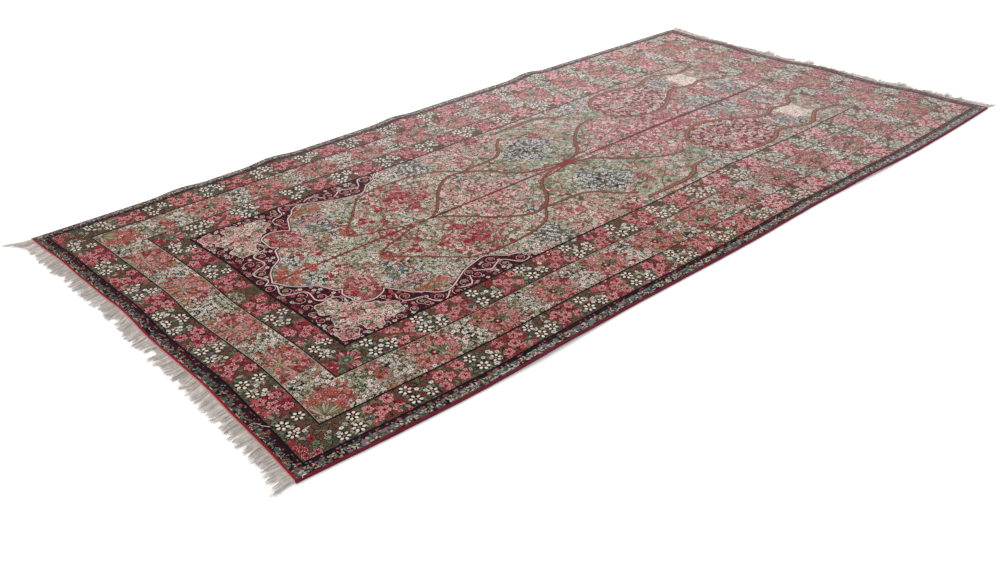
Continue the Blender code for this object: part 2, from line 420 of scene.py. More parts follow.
fieldBunches = (  # place, half sizes, bed: the first one that covers a place wins
    (0.235, 1.15, 0.125, 0.125, "rosy"), (0.1, 0.945, 0.105, 0.045, "rosy"),
    (0.13, 0.84, 0.05, 0.03, "rust"), (0.25, 0.82, 0.115, 0.06, "haze"),
    (0.2, 0.655, 0.17, 0.062, "rosy"), (0.385, 0.83, 0.04, 0.095, "rust"),
    (0.02, 0.505, 0.042, 0.036, "rust"), (0.085, 0.56, 0.045, 0.045, "slate"),
    (0.0, 1.4, 0.2, 0.17, "pink"), (0.19, 1.46, 0.045, 0.05, "slate"),
    (0.4, 1.37, 0.08, 0.08, "slate"), (0.37, 1.59, 0.12, 0.12, "pink"),
    (0.43, 1.74, 0.05, 0.06, "rosy"), (0.215, 1.845, 0.11, 0.125, "slate"),
    (0.3, 1.97, 0.045, 0.04, "rosy"), (0.23, 1.85, 0.23, 0.33, "moss"),
    (0.11, 1.68, 0.08, 0.06, "moss"), (0.0, 2.22, 0.23, 0.27, "bloom"),
    (0.43, 2.33, 0.06, 0.11, "haze"), (0.29, 2.33, 0.07, 0.05, "moss"),
    (0.06, 2.48, 0.07, 0.1, "rosy"), (0.0, 2.82, 0.14, 0.11, "haze"),
    (0.09, 3.07, 0.08, 0.08, "haze"), (0.37, 2.89, 0.08, 0.06, "haze"),
    (0.31, 3.01, 0.08, 0.065, "cream"), (0.32, 3.14, 0.09, 0.07, "moss"),
    (0.0, 2.65, 0.3, 0.5, "bloom"),
)


def fieldBed(au, av):
    wobble = 0.14 * (np.sin(au * 61 + av * 37) + np.sin(av * 83 - au * 29))
    bed = np.full(np.shape(au), bedNumber["sage"], np.int8)
    free = np.ones(bed.shape, bool)
    for bu, bv, hu, hv, name in fieldBunches:
        hit = free & (((au - bu) / hu) ** 2 + ((av - bv) / hv) ** 2 < (1 - wobble) ** 2)
        bed[hit] = bedNumber[name]
        free &= ~hit
    return bed


middleEnd = (0.163, 0.437)
middleSide = [0.6 + 0.248 * k for k in range(12)]


def chanceOf(au, av):
    # a chance for each cell of 6 mm: the fraction of a large sine of its place
    u, v = np.floor(au / 0.006), np.floor(av / 0.006)
    return np.modf(np.abs(np.sin(u * 12.9898 + v * 78.233)) * 437.5453)[0]


def middleBed(au, av):
    # pink bunches and pale ones take turns along the middle stripe, and mix where they meet
    sb, eb = bandsOf(au, av)
    edge = 0.72 + 0.56 * chanceOf(au, av)
    fs, fe = edgesOf(au, av)
    pinkSide, pinkEnd = np.abs(av - 0.41) < 0.022, np.zeros(np.shape(au), bool)
    for centre in middleSide:
        pinkSide |= np.hypot((fs - 0.232) / 0.095, (av - centre) / 0.088) < edge
    for centre in middleEnd:
        pinkEnd |= np.hypot((fe - 0.228) / 0.086, (au - centre) / 0.102) < edge
    bed = np.full(np.shape(au), bedNumber["pale"], np.int8)
    bed[np.where(sb < eb, pinkSide, pinkEnd)] = bedNumber["coral"]
    bed[np.hypot((fs - 0.225) / 0.08, (fe - 0.225) / 0.08) < edge] = bedNumber["rust"]
    return bed


# where the pairs of white flowers stand along the outer and the inner border
outerSidePairs = (0.24, 0.417, 0.65, 0.881, 1.103, 1.325, 1.545, 1.765, 2.0, 2.235, 2.47, 2.7, 2.925,
                  3.15, 3.386)
innerSidePairs = (0.46, 0.65, 0.881, 1.103, 1.325, 1.545, 1.765, 2.0, 2.235, 2.47, 2.7, 2.925, 3.15)
outerEndPairs = (0.0, 0.22, 0.457, 0.687)
innerEndPairs = (0.183, 0.427)


def paler(au, av):
    # a share of the places that grows from a third of the length to two thirds of it; there the border beds
    # turn paler, as painted sheen of the far half
    return chanceOf(au, av) < np.clip((av - 1.1) / 1.5, 0, 0.88)


def borderBed(au, av):
    # briers where the roses are, a dark bank where the white flowers are
    sb, eb = bandsOf(au, av)
    onSide, zone = sb < eb, np.minimum(sb, eb)
    bed = np.full(np.shape(au), bedNumber["bank"], np.int8)
    for pairs, inner, side in ((outerSidePairs, False, True), (innerSidePairs, True, True),
                               (outerEndPairs, False, False), ((-0.04,) + innerEndPairs, True, False)):
        s = av if side else au
        for low, high in zip(pairs, pairs[1:] + (pairs[-1] + 0.22,)):
            middle = low + (high - low) * 0.6
            hit = np.abs(s - middle) < (high - low) * 0.27
            bed[hit & (onSide == side) & ((zone > 2.5) == inner)] = bedNumber["brier"]
    # painted sheen: further along, briers and dark banks give way to paler beds
    light = paler(au, av)
    bed[light & (bed == bedNumber["brier"])] = bedNumber["bloom"]
    bed[light & (bed == bedNumber["bank"])] = bedNumber["meadow"]
    return bed


def placer(kind):
    # a place along and across a border stripe, as a place on the chart
    if kind == "side":
        return lambda s, t: (chart["halfWidth"] - t, s)
    if kind == "near":
        return lambda s, t: (s, t)
    return lambda s, t: (s, chart["length"] - t)


# painted sheen: beyond these places the white flowers have paler discs and less white petals, as the pile
# seen at a low angle
whiteUpTo, blackUpTo = 2.3, 1.7  # how far along the petals stay white and the discs behind them black


def whiteFlower(place, size, turn):
    # six rounded petals that stand apart on a dark disc, round a small eye
    window, du, dv = around(place, size * 1.2)
    away = np.hypot(du, dv) / size
    bearing = (np.arctan2(dv, du) - turn + np.pi / 6) % (np.pi / 3) - np.pi / 6
    run, side = away * np.cos(bearing) - 0.68, away * np.sin(bearing)
    # painted sheen: far along, the disc and petals take paler yarns that are closer in tone
    disc, light = "olive" if place[1] > blackUpTo else "ink", "cream"
    if place[1] > whiteUpTo:
        disc, light = "green", "mist"
    paint(away < 0.95, disc, window)
    petal = (run / 0.3) ** 2 + (side / 0.215) ** 2
    paint(petal < 1, light, window)
    paint((petal < 1) & (away > 0.86 + 0.05 * np.sin(9 * du / size + turn)), "sage", window)
    paint(away < 0.2, "gold", window)
    paint(away < 0.09, "crimson", window)


def leafGroup(place, size, turn, yarn="brown"):
    tones = (yarn, "olive", yarn) if yarn == "brown" else (yarn, "teal", "sage")
    for tone, bend in zip(tones, (-0.95, 0.0, 0.95)):
        leaf(place, size, size * 0.22, turn + bend, tone, None if tone == "brown" else "olive", "ink")


def cluster(place, s, low, high, seed, step, away=1):
    # a pair of white flowers, then one beside a group of brown leaves
    outer, inner = low + (high - low) * 0.25, low + (high - low) * 0.76
    size = (high - low) * 0.205
    shift = 0.006 * math.sin(seed * 5.1)
    leafGroup(place(s + away * step, inner + 0.006), size * 1.45, seed * 1.7)
    leafGroup(place(s - away * step * 0.7, outer), size * 1.1, seed * 2.3, "green")
    leafGroup(place(s + away * step * 1.5, outer + 0.01), size * 0.9, seed * 3.1, "green")
    whiteFlower(place(s - shift, inner), size, seed * 1.1)
    whiteFlower(place(s + shift, outer), size * 1.04, seed * 1.9 + 0.5)
    whiteFlower(place(s + away * step, outer + shift), size * 0.94, seed * 2.7)
    for j in range(4):
        u, v = s + away * step * (0.5 + 0.3 * j), low + (high - low) * (0.5 + 0.12 * math.sin(seed + 2.2 * j))
        petal = ("mist", "sage", "cream")[(seed + j) % 3]
        flower(place(u, v), size * 0.36, 5, ("ink", petal, None, "olive"), j)


# where the roses of a bunch stand: offset along the stripe and share of its width
bunch = ((-0.036, 0.24), (-0.03, 0.74), (0.002, 0.47), (0.034, 0.22), (0.038, 0.78))


def roses(place, s, low, high, seed, tones, size):
    # five roses jostle on a dark brier, with a few buds and leaves between them
    (light, dark, rim), width = tones, high - low
    for j, (ds, share) in enumerate(bunch):
        u = s + ds + 0.006 * math.sin(seed * 3.7 + j * 2.1)
        v = low + width * (share + 0.05 * math.sin(seed * 2.3 + j * 1.7))
        tone = "green" if j % 2 else "brown"
        leaf(place(u, v), size * 1.55, size * 0.3, seed + j * 2.4, tone, "olive", "ink")
        first = light if (seed + j) % 3 else light[::-1]
        rose(place(u, v), size * (0.86 + 0.2 * ((seed * 7 + j * 5) % 4) / 3), seed + j, first, dark, rim)
    for j in range(5):
        u = s + 0.052 * math.sin(seed * 1.3 + j * 2.6)
        v = low + width * (0.5 + 0.4 * math.sin(seed * 2.9 + j * 1.9))
        flower(place(u, v), size * 0.36, 5, (rim, (light[0], "crimson", light[1])[j % 3], None, dark[1]), j)


# dark marks in the round bowers, with a lighter core
bulbMarks = {"pitch": 0.036, "share": 0.85, "halfWide": 0.006, "halfLong": 0.0125, "coreWide": 0.0015,
             "coreLong": 0.005}


def makeField():
    growBeds(band >= 4, fieldBed, 11, 0.0118, 0.0235)
    bulb = within(bulbOuter + bulbInner[::-1]) & (along < 2.82)
    growBeds(bulb, only("bulb"), 19, 0.0116, 0.023)
    spot = np.flatnonzero(bulb)
    put, marks = painter(spot), scatter(spot, bulbMarks["pitch"], 77)
    run, side = np.abs(slanted(marks))
    dark = (side < bulbMarks["halfWide"]) & (run < bulbMarks["halfLong"])
    dark &= marks["chance"] < bulbMarks["share"]
    put(dark, "burgundy")
    put(dark & (side < bulbMarks["coreWide"]) & (run < bulbMarks["coreLong"]), "crimson")


spandrelLine = [
    (0.47, 1.235), (0.455, 1.215), (0.42, 1.187), (0.4, 1.14), (0.364, 1.103), (0.35, 1.072),
    (0.358, 1.03), (0.374, 0.97), (0.4, 0.92), (0.426, 0.875), (0.434, 0.838), (0.42, 0.806),
    (0.388, 0.78), (0.366, 0.75), (0.33, 0.728), (0.285, 0.7), (0.3, 0.68), (0.316, 0.632),
    (0.296, 0.588), (0.262, 0.58), (0.222, 0.576), (0.196, 0.592), (0.186, 0.574), (0.15, 0.56),
    (0.12, 0.546), (0.09, 0.506), (0.06, 0.48), (0.03, 0.466), (0.0, 0.452),
]
cartouche = (
    (0.34, 0.553, 0.056), (0.398, 0.634, 0.044), (0.422, 0.548, 0.04), (0.363, 0.488, 0.04),
    (0.266, 0.497, 0.046), (0.368, 0.6, 0.04), (0.302, 0.522, 0.04),
)
bulbOuter = [
    (0.34, 2.39), (0.385, 2.425), (0.427, 2.49), (0.444, 2.59), (0.428, 2.68), (0.395, 2.745),
    (0.402, 2.81), (0.436, 2.89), (0.44, 2.95), (0.408, 3.01), (0.38, 3.07), (0.386, 3.13), (0.41, 3.205),
]
bulbInner = [
    (0.25, 2.38), (0.19, 2.405), (0.14, 2.47), (0.112, 2.56), (0.128, 2.65), (0.18, 2.74),
    (0.24, 2.83), (0.246, 2.9), (0.22, 2.97), (0.24, 3.04), (0.226, 3.105), (0.186, 3.15), (0.2, 3.205),
]
branches = {
    "heart": [(0.0, 1.13), (0.03, 1.185), (0.085, 1.235), (0.165, 1.31), (0.222, 1.39), (0.236, 1.45),
              (0.215, 1.51), (0.16, 1.575), (0.085, 1.625), (0.04, 1.68), (0.015, 1.74), (0.002, 1.8)],
    "lowerOuter": [(0.322, 1.03), (0.345, 1.12), (0.348, 1.23), (0.335, 1.35), (0.3, 1.43), (0.232, 1.495)],
    "lowerCross": [(0.232, 1.495), (0.234, 1.6), (0.24, 1.68), (0.275, 1.74), (0.33, 1.782), (0.38, 1.84)],
    "upperOuter": [(0.432, 1.85), (0.436, 1.99), (0.434, 2.09), (0.415, 2.15), (0.382, 2.2), (0.372, 2.27)],
    "upperInner": [(0.004, 1.85), (0.03, 1.935), (0.066, 1.995), (0.13, 2.05), (0.19, 2.12), (0.24, 2.2),
                   (0.262, 2.29)],
    "loop": [(0.0, 1.06), (0.03, 0.98), (0.07, 0.865), (0.105, 0.832), (0.165, 0.88), (0.235, 0.95),
             (0.322, 1.035)],
}


cornerCoils = (  # tendrils outside the cartouche: place, radius and petals
    (0.386, 1.078, 0.021, "rose"), (0.4, 0.965, 0.019, "rust"), (0.452, 0.69, 0.016, "pink"),
    (0.458, 0.63, 0.015, "rose"), (0.452, 0.47, 0.015, "pink"), (0.462, 0.52, 0.012, "rust"),
    (0.31, 0.432, 0.015, "rose"), (0.16, 0.455, 0.022, "rose"), (0.216, 0.446, 0.018, "rust"),
    (0.46, 0.575, 0.014, "rose"), (0.262, 0.432, 0.014, "pink"), (0.364, 0.43, 0.013, "rust"),
    (0.106, 0.424, 0.013, "pink"), (0.452, 0.745, 0.013, "rust"), (0.382, 0.682, 0.014, "rose"),
    (0.236, 0.566, 0.011, "pink"), (0.326, 0.662, 0.012, "pink"), (0.462, 1.03, 0.012, "rose"),
)
cornerLobe = (0.428, 0.452, 0.038)
rosette = (0.345, 0.553)


def makeCorners():
    corner = within(spandrelLine + [(0.0, 0.4), (0.5, 0.4), (0.5, 1.235)]) & (band >= 4)
    growBeds(corner, only("wine"), 23, 0.011, 0.0185)
    vine([(0.462, 1.19), (0.43, 1.1), (0.412, 1.02), (0.436, 0.93), (0.458, 0.86), (0.45, 0.78),
          (0.41, 0.725), (0.34, 0.7)], 0.02, 4.5, "blush")
    vine([(0.0, 0.425), (0.06, 0.44), (0.12, 0.47), (0.18, 0.505), (0.225, 0.535), (0.27, 0.56)],
         0.019, 2.5, "blush")
    for u, v, radius, yarn in cornerCoils:
        coil((u, v), radius, u * 40 + v * 9, 1 if v < 0.6 else -1, yarn)
    apart = np.full((rows, columns), 9.0, np.float32)
    for cu, cv, r in cartouche + (cornerLobe,):
        low, high = int((cv - 0.15) / knot), int((cv + 0.15) / knot)
        du, dv = across - cu, along[low:high] - cv
        lobed = r * (1 + 0.11 * np.cos(5 * np.arctan2(dv, du) + cu * 70))
        apart[low:high] = np.minimum(apart[low:high], np.hypot(du, dv) - lobed)
    growBeds(apart < 0, only("blush"), 29, 0.0104, 0.0215)
    inLobe = np.hypot(across - cornerLobe[0], along - cornerLobe[1]) < 1.1 * cornerLobe[2]
    growBeds((apart < 0) & inLobe, only("rosy"), 31, 0.009, 0.018)
    for k in range(7):
        stem, bloom = ((rosette[0] + reach * math.cos(turn), rosette[1] + reach * math.sin(turn))
                       for reach, turn in ((0.085, 0.4 + k * 0.9), (0.052, 0.8 + k * 0.9)))
        stroke([rosette, stem], 0.0022, "brown")
        flower(bloom, 0.013, 6, ("rose", ("blush", "pink")[k % 2], "pink", "crimson"), k)
    paint(np.abs(apart) < 0.0014, "blush")
    paint((apart > 0.0018) & (apart < 0.0048) & corner, "ink")
    stroke(spandrelLine, 0.0095, "ink")
    stroke(spandrelLine, 0.0034, "blush")


branchWidths = {  # width at both ends, and how much more in the middle
    "heart": (0.0066, 0.005), "lowerOuter": (0.0062, 0.003), "lowerCross": (0.008, 0.004),
    "upperOuter": (0.011, 0.008), "upperInner": (0.0078, 0.005), "loop": (0.0056, 0.0),
    "bulb": (0.014, 0.004),
}


def bough(route, wide, swell, light=0.0):
    # a brown line with a dark lower edge and a broken lighter line in its middle
    stroke(route, wide + 0.0022, "burgundy", swell)
    stroke([(u - 0.0011, v) for u, v in route], wide, "brown", swell)
    middle = smoothRoute([(u - 0.14 * wide, v) for u, v in route], 0.01)
    for k in range(0, len(middle) - 3, 3):
        stroke(middle[k:k + 3], 0.12 * wide + 0.22 * swell + light, "rust")


twigs = (  # short brown lines off the boughs: start, bend and end
    ((0.236, 1.53), (0.275, 1.59), (0.33, 1.6)), ((0.265, 1.73), (0.25, 1.8), (0.2, 1.86)),
    ((0.37, 1.83), (0.33, 1.9), (0.345, 1.99)), ((0.43, 1.95), (0.38, 1.99), (0.33, 2.07)),
    ((0.066, 1.995), (0.11, 1.96), (0.12, 1.88)), ((0.19, 2.12), (0.18, 2.06), (0.24, 2.01)),
    ((0.1, 1.24), (0.13, 1.19), (0.21, 1.19)), ((0.34, 1.18), (0.3, 1.23), (0.28, 1.3)),
    ((0.16, 0.88), (0.2, 0.84), (0.27, 0.85)), ((0.345, 1.3), (0.39, 1.34), (0.42, 1.3)),
    ((0.06, 1.66), (0.11, 1.69), (0.16, 1.66)), ((0.0, 0.9), (0.06, 0.94), (0.08, 1.0)),
)
stems = (  # thinner stems that leave the trunk beside the boughs: yarn, then the route
    ("crimson", ((0.002, 1.94), (0.012, 1.84), (0.034, 1.74), (0.05, 1.64))),
    ("brown", ((0.002, 1.76), (0.016, 1.86), (0.03, 1.96), (0.034, 2.05))),
)


def makeTree():
    for k, route in enumerate(twigs):
        stroke(route, 0.003, "brown")
        for j, (u, v) in enumerate(smoothRoute(route, 0.013)[::2]):
            leaf((u, v), 0.013, 0.003, k * 1.3 + j * 2.1, ("green", "brown", "olive")[j % 3])
    for name, route in branches.items():
        bough(route, *branchWidths[name])
    for route in (bulbOuter, bulbInner):
        bough(route, *branchWidths["bulb"], 0.0012)
    stroke([(0.17, 3.2), (0.3, 3.204), (0.425, 3.2)], 0.007, "brown")
    for yarn, route in stems:
        stroke(route, 0.005, "burgundy", 0.002)
        stroke(route, 0.0026, yarn, 0.002)
    fan((0.292, 2.33), 8, (0.04, 0.055), 0.012, 0.3, 0.785, ("green",), ("olive",), "sage")
    flower((0.292, 2.33), 0.016, 6, (None, "sage", None, "green"), 0.2)
    fan((0.0, 1.085), 6, (0.034,), 0.009, 0.0, 1.05, ("green",), ("olive",))
    leaf((0.322, 1.035), 0.04, 0.01, 2.3, "brown")
    # the trunk's stretches: half width, from, to and yarn
    bulge = 0.0025 + 0.006 * np.exp(-(((along - 1.845) / 0.06) ** 2))
    upper = 0.004 + 0.0044 * np.sin(np.pi * np.clip((along - 2.0) / 1.3, 0, 1))
    for half, low, high, yarn in (
        (0.0054, 0.47, 1.13, "burgundy"), (0.0032, 0.47, 1.13, "crimson"), (0.0046, 1.13, 1.75, "burgundy"),
        (0.0024, 1.13, 1.75, "crimson"), (bulge, 1.7, 2.0, "crimson"), (upper, 2.0, 3.3, "crimson"),
        (0.7 * upper, 2.0, 3.3, "burgundy"),
    ):
        paint((across < half) & (along > low) & (along < high), yarn)
    for k in range(14):
        leaf((0.004, 0.66 + k * 0.031), 0.017, 0.0032, 0.9, "brown")
    for k, (u, v) in enumerate(((0.0, 0.615), (0.022, 0.6), (0.03, 0.52), (0.0, 0.545), (0.018, 0.486))):
        flower((u, v), 0.014, 6, ("brown", ("rust", "rose")[k % 2], "crimson", "gold"), v * 70)
    flower((0.0, 1.06), 0.012, 6, ("olive", "pink", "crimson", "gold"))


# painted sheen: further along, the roses of the sides take the pale far tones
farRoses = 2.037  # how far along the roses of the sides turn pale
roseTones = {  # two light yarns, two dark ones and the rim
    "end": (("rose", "pink"), ("crimson", "burgundy"), "burgundy"),
    "side": (("pink", "rose"), ("crimson", "burgundy"), "brown"),
    "far": (("pink", "blush"), ("crimson", "burgundy"), "rose"),
}


def stripe(kind, low, high, roseAt, roseSeed, size, pairs, seed, step=0.055, first=1):
    # bunches of roses along a border stripe, then clusters of white flowers over their edges
    at = placer(kind)
    for k, s in enumerate(roseAt):
        sort = "end" if kind != "side" else "side" if s < farRoses else "far"
        roses(at, s, low, high, k + roseSeed, roseTones[sort], size)
    for k, s in enumerate(pairs):
        cluster(at, s, low, high, k + seed, step, 1 if k else first)


# the flower stripes of the sides: line, pairs of white flowers, seed, shift of the first roses, first side
sideStripes = ((1, outerSidePairs, 7, 0.085, -1), (3, innerSidePairs, 11, 0.137, 1))


def makeBorders():
    growBeds((band >= 2) & (band < 3), middleBed, 41, 0.01, 0.02, 0.74)
    growBeds(((band >= 1) & (band < 2)) | ((band >= 3) & (band < 4)), borderBed, 47)
    for kind in ("near", "far"):
        outerRoses = [s + 0.134 for s in outerEndPairs[:3]]
        stripe(kind, endLines[1] + 0.004, endLines[2] - 0.003, outerRoses, 2, 0.0215, outerEndPairs, 1)
        low, high = endLines[3] + 0.004, endLines[4] - 0.004
        stripe(kind, low, high, (0.104, 0.345), 4, 0.0205, innerEndPairs, 3, 0.055 * 0.9)
        leafGroup(placer(kind)(0.0, (low + high) / 2), 0.04, 1.2)
        cornerMotifs(placer(kind))
    for line, pairs, seed, shift, first in sideStripes:
        roseAt = [s + (0.137 if k else shift) for k, s in enumerate(pairs)]
        low, high = sideLines[line] + 0.004, sideLines[line + 1] - 0.003
        stripe("side", low, high, roseAt, seed + 2, 0.02, pairs, seed, first=first)


cornerLeaves = (  # place, size, turn and yarn
    (0.8, 0.122, 0.024, 2.4, "brown"), (0.774, 0.104, 0.022, 3.6, "green"),
    (0.822, 0.142, 0.022, 1.0, "green"), (0.784, 0.138, 0.022, 0.2, "brown"),
    (0.8, 0.094, 0.02, 4.6, "brown"), (0.826, 0.116, 0.018, 5.4, "green"),
)
cornerRoses = ((0.842, 0.068), (0.812, 0.07), (0.846, 0.098), (0.83, 0.086))


def cornerMotifs(at):
    # brown leaves on the diagonal, red flowers outside them, and a fan of petals further in
    for s, t, size, turn, yarn in cornerLeaves:
        leafGroup(at(s, t), size, turn, yarn)
    for k, (s, t) in enumerate(cornerRoses):
        light = (("rose", "crimson"), ("crimson", "rust"))[k % 2]
        rose(at(s, t), 0.015, s * 90, light, ("crimson", "burgundy"))
        leaf(at(s - 0.012, t + 0.01), 0.022, 0.005, k * 1.9, "teal" if k % 2 else "green", "olive", "ink")
    tones, veins = ("rose", "crimson", "pink"), ("crimson", "blush")
    fan(at(0.545, 0.366), 13, (0.05,), 0.0058, -0.2, 0.29, tones, veins, "burgundy")
    flower(at(0.545, 0.366), 0.024, 9, ("olive", "green", "teal", "gold"), 0.2)
    # bouquet of the middle stripe's corner
    for k in range(9):
        place = at(0.68 + 0.043 * math.cos(k * 0.698), 0.225 + 0.04 * math.sin(k * 0.698))
        flower(place, 0.013, 6, ("brown", ("rust", "rose", "pink")[k % 3], "crimson", "gold"), k)
    fan(at(0.724, 0.184), 9, (0.058,), 0.0044, 1.276, 0.27, ("green", "gold", "sage"), edge="olive")


strawTones = ("gold", "sage", "green", "brown")
sidePosy = ((-0.035, -0.035), (0.035, -0.04), (-0.045, 0.005), (0.048, 0.0), (0.0, 0.058), (0.0, -0.055))
endPosy = ((-0.055, -0.02), (-0.035, 0.03), (0.0, 0.045), (0.04, 0.034), (0.06, -0.012), (0.018, -0.036),
           (-0.02, -0.034), (0.004, 0.004))


def makeMiddle():
    # straw-coloured fans under posies of small flowers
    for k, s in enumerate(middleSide):
        u, v = placer("side")(s, 0.225)
        fan((u, v), 11, (0.06,), 0.0028, 0.4 + k, 0.571, strawTones)
        rose((u - 0.024, v + 0.03), 0.016, k, ("pink", "rose"), ("rose", "crimson"))
        rose((u + 0.028, v + 0.034), 0.014, k + 1, ("rose", "pink"), ("crimson", "burgundy"))
        flower((u + 0.004, v - 0.012), 0.015, 6, ("olive", "burgundy", "crimson", "blush"), k)
        fan((u, v + 0.012), 4, (0.024,), 0.0048, k, 1.57, ("green",), ("olive",), "burgundy")
        for du, dv in sidePosy:
            yarn = "rust" if dv < -0.037 else "rose"
            flower((u + du, v + dv), 0.0105, 6, ("brown", yarn, "pink", "crimson"), k + du * 90)
    for at in (placer("near"), placer("far")):
        for s in middleEnd:
            fan(at(s, 0.205), 11, (0.064,), 0.003, 0.3, 0.571, strawTones)
            for j, (ds, dt) in enumerate(endPosy):
                colours = ("brown", ("rose", "pink", "rust")[j % 3], "pink", "crimson")
                flower(at(s + ds, 0.225 + dt), 0.012, 6, colours, ds * 90)


def makeLines():
    for k, wide, light, sign in ((1, 0.005, None, 1), (2, 0.0058, "sage", 1), (3, 0.005, "sage", -1),
                                 (4, 0.008, None, 1)):
        away = np.minimum(fromSide - sideLines[k], fromEnd - endLines[k])
        paint(np.abs(away) < np.where(along > 1.5, 0.36, 0.5) * wide, "ink")
        if light:
            edge = wide / 2 + np.where(fromEnd < fromSide, 0.0022, 0.0012)
            paint((sign * away > wide / 2) & (sign * away < edge), light)


guard = {
    "blotch": 0.013, "mark": 0.0095, "dash": 0.038, "redAtEnds": 0.0062, "redAtSides": 0.0022,
    # yarns, and the chance from which each takes over
    "ground": (("ink", 0.0), ("burgundy", 0.1), ("teal", 0.46), ("olive", 0.66), ("slate", 0.84)),
    "sideLeaves": (("teal", 0.0), ("green", 0.16), ("slate", 0.36), ("sage", 0.46), ("mist", 0.7),
                   ("rose", 0.9)),
    "endLeaves": (("teal", 0.0), ("green", 0.22), ("slate", 0.46), ("sage", 0.62), ("rose", 0.86)),
}


def makeGuard():
    # dark blotches with small slanting leaves, a purplish strip inside and a row of pale dashes outside
    spot = np.flatnonzero(band < 1)
    put, here = painter(spot), band.ravel()[spot]
    side, end = edgesOf(flatAcross[spot], flatAlong[spot])
    atEnd = end < side
    blotch, mark = scatter(spot, guard["blotch"], 57), scatter(spot, guard["mark"], 58)
    layers(put, True, blotch["chance"], guard["ground"])
    put(atEnd & (blotch["chance"] > 0.22), "burgundy")
    put(atEnd & (blotch["chance"] > 0.7) & (flatAlong[spot] < 1), "teal")
    put(atEnd & (blotch["chance"] > 0.9), "brown")
    leafRun, leafSide = np.abs(slanted(mark, 3.0))
    leafy = (leafSide < np.where(atEnd, 0.0018, 0.0024)) & (leafRun < 0.0046) & (here > 0.12) & (here < 0.62)
    layers(put, leafy & ~atEnd, mark["other"], guard["sideLeaves"])
    layers(put, leafy & atEnd & (mark["chance"] < 0.8), mark["other"], guard["endLeaves"])
    # the strip inside the leaves: from, to, which knots, yarn
    for low, high, which, yarn in (
        (0.62, 0.93, True, "ink"), (0.64, 0.91, blotch["other"] > 0.2, "burgundy"),
        (0.64, 0.88, blotch["other"] > 0.92, "brown"),
        (0.66, 0.9, (mark["other"] > 0.74) & (mark["away"] < 0.0032), "slate"),
        (0.66, 0.9, (mark["other"] > 0.88) & (mark["away"] < 0.0028), "rose"), (0.93, 1.0, True, "ink"),
    ):
        put((here > low) & (here < high) & which, yarn)
    for kind, stop in (("near", 0.86), ("far", 0.86), ("side", 3.58)):
        at, vein = placer(kind), "slate" if kind == "side" else "teal"
        for k, s in enumerate(np.arange(0.03, stop, guard["dash"])):
            if k % 4 == 3:
                continue
            for j in range(3 + k % 3):
                leaf(at(s + 0.0048 * j, 0.0095 + 0.0012 * (j % 2)), 0.0046, 0.0011, 1.4 + 0.3 * k, "cream")
            leaf(at(s + 0.019, 0.02), 0.014, 0.004, 0.7 + k * 1.7, "teal" if k % 2 else "green", vein)
    paint((fromEnd < guard["redAtEnds"]) & (fromEnd < fromSide), "crimson")
    paint((fromSide < guard["redAtSides"]) & (fromSide < fromEnd), "crimson")


def makeChart():
    makeField()
    makeCorners()
    makeTree()
    makeBorders()
    makeMiddle()
    makeLines()
    makeGuard()
    return np.hstack([knots[:, ::-1], knots])


def bow(table, place):
    # smooth curve through the rows of (place, value), with slopes taken from the rows on each side
    r = np.array(table)
    k = np.clip(np.searchsorted(r[:, 0], place, side="right") - 1, 0, len(r) - 2)
    padded = np.vstack([r[:1], r, r[-1:]])
    before, low, high, after = (padded[k + j] for j in range(4))
    span = high[..., 0] - low[..., 0]
    share = (place - low[..., 0]) / span
    slopeLow = (high[..., 1] - before[..., 1]) / (high[..., 0] - before[..., 0]) * span
    slopeHigh = (after[..., 1] - low[..., 1]) / (after[..., 0] - low[..., 0]) * span
    square, cube = share**2, share**3
    return ((2 * cube - 3 * square + 1) * low[..., 1] + (cube - 2 * square + share) * slopeLow
            + (3 * square - 2 * cube) * high[..., 1] + (cube - square) * slopeHigh)


def plan(s, t, inset=0.0):
    # floor position of the cloth's point at s across and t along, both from -1 to 1
    left = -rug["halfWidth"] - bow(leftBow, t) + inset
    right = rug["halfWidth"] + bow(rightBow, t) - inset
    near = -rug["halfLength"] - bow(nearBow, s)
    far = rug["halfLength"] + bow(farBow, s)
    return left + (right - left) * (s + 1) / 2, near + (far - near) * (t + 1) / 2


def lift(x, y):
    # height of the cloth's underside above the floor: soft humps that end flat
    rise = 0.0 * x
    for hu, hv, halfAcross, halfAlong, height in ripples:
        reach = np.hypot((x - hu) / halfAcross, (y - hv) / halfAlong)
        rise = rise + height * np.cos(np.minimum(reach, 1) * np.pi / 2) ** 2
    return rise


def cells(ids):
    # the faces between neighbouring rows and columns of point numbers
    parts = (ids[..., :-1, :-1], ids[..., :-1, 1:], ids[..., 1:, 1:], ids[..., 1:, :-1])
    return np.stack(parts, -1).reshape(-1, 4)


def closed(ids):
    # rings of point numbers, with each ring's first number again at its end
    return np.concatenate([ids, ids[..., :1]], -1)


def makeObject(name, points, groups, materials, slots=None):
    # points is an array of places, and groups are arrays of faces with one number of corners each
    mesh = bpy.data.meshes.new(name)
    corners = np.concatenate([g.ravel() for g in groups]).astype(np.int32)
    sizes = np.concatenate([np.full(len(g), g.shape[1]) for g in groups])
    mesh.vertices.add(len(points))
    mesh.loops.add(len(corners))
    mesh.polygons.add(len(sizes))
    mesh.vertices.foreach_set("co", np.asarray(points, np.float32).ravel())
    mesh.loops.foreach_set("vertex_index", corners)
    mesh.polygons.foreach_set("loop_start", (np.cumsum(sizes) - sizes).astype(np.int32))
    for material in materials:
        mesh.materials.append(material)
    if slots is not None:
        mesh.polygons.foreach_set("material_index", slots.astype(np.int32))
    mesh.update(calc_edges=True)
    mesh.polygons.foreach_set("use_smooth", np.ones(len(sizes), bool))
    mesh.set_sharp_from_angle(angle=math.radians(50))
    made = bpy.data.objects.new(name, mesh)
    bpy.context.scene.collection.objects.link(made)
    return made


